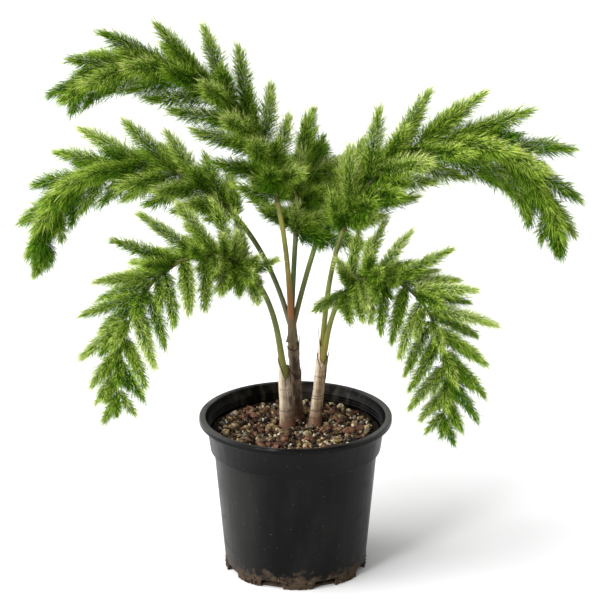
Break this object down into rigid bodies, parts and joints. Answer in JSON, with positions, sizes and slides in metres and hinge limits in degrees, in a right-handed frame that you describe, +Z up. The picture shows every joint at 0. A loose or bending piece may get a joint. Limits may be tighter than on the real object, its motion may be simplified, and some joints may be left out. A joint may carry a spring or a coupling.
{
  "type": "potted foxtail palm",
  "caption": "Young clumped foxtail palm in a round nursery pot: ringed stems in bark potting mix carry arching leaf stalks and drooping fronds of bottlebrush plumes.",
  "frame": {"origin": "centre of the pot's flat underside, on the floor it stands on", "axes": "+Z up along the pot's axis; +X to the viewer's right; +Y away from the viewer of the front"},
  "size_m": [0.832, 0.5259, 0.8377],
  "materials": {
    "pot_plastic": "black moulded nursery plastic, dusty and scuffed",
    "bark_mix": "bark chips with pale grit and perlite",
    "stem": "grey-tan ringed palm bark with brown leaf scars",
    "leaf_stalk": "smooth olive-green stalk",
    "frond": "soft green needle-like leaflets"
  },
  "bodies": {
    "root": {"pot": "pot_plastic", "potting_mix": "bark_mix", "stem_left": "stem", "stem_middle": "stem", "stem_right": "stem", "petiole_left_low": "leaf_stalk", "petiole_left_top": "leaf_stalk", "petiole_left_mid": "leaf_stalk", "petiole_back": "leaf_stalk", "petiole_back_right": "leaf_stalk", "petiole_right_top": "leaf_stalk", "petiole_right_low": "leaf_stalk", "frond_left_low_inner": "frond", "frond_left_low_outer": "frond", "frond_left_top_inner": "frond", "frond_left_top_outer": "frond", "frond_left_mid_inner": "frond", "frond_left_mid_outer": "frond", "frond_back_inner": "frond", "frond_back_outer": "frond", "frond_back_right": "frond", "frond_right_top_inner": "frond", "frond_right_top_outer": "frond", "frond_right_low_inner": "frond", "frond_right_low_outer": "frond"}
  },
  "joints": []
}
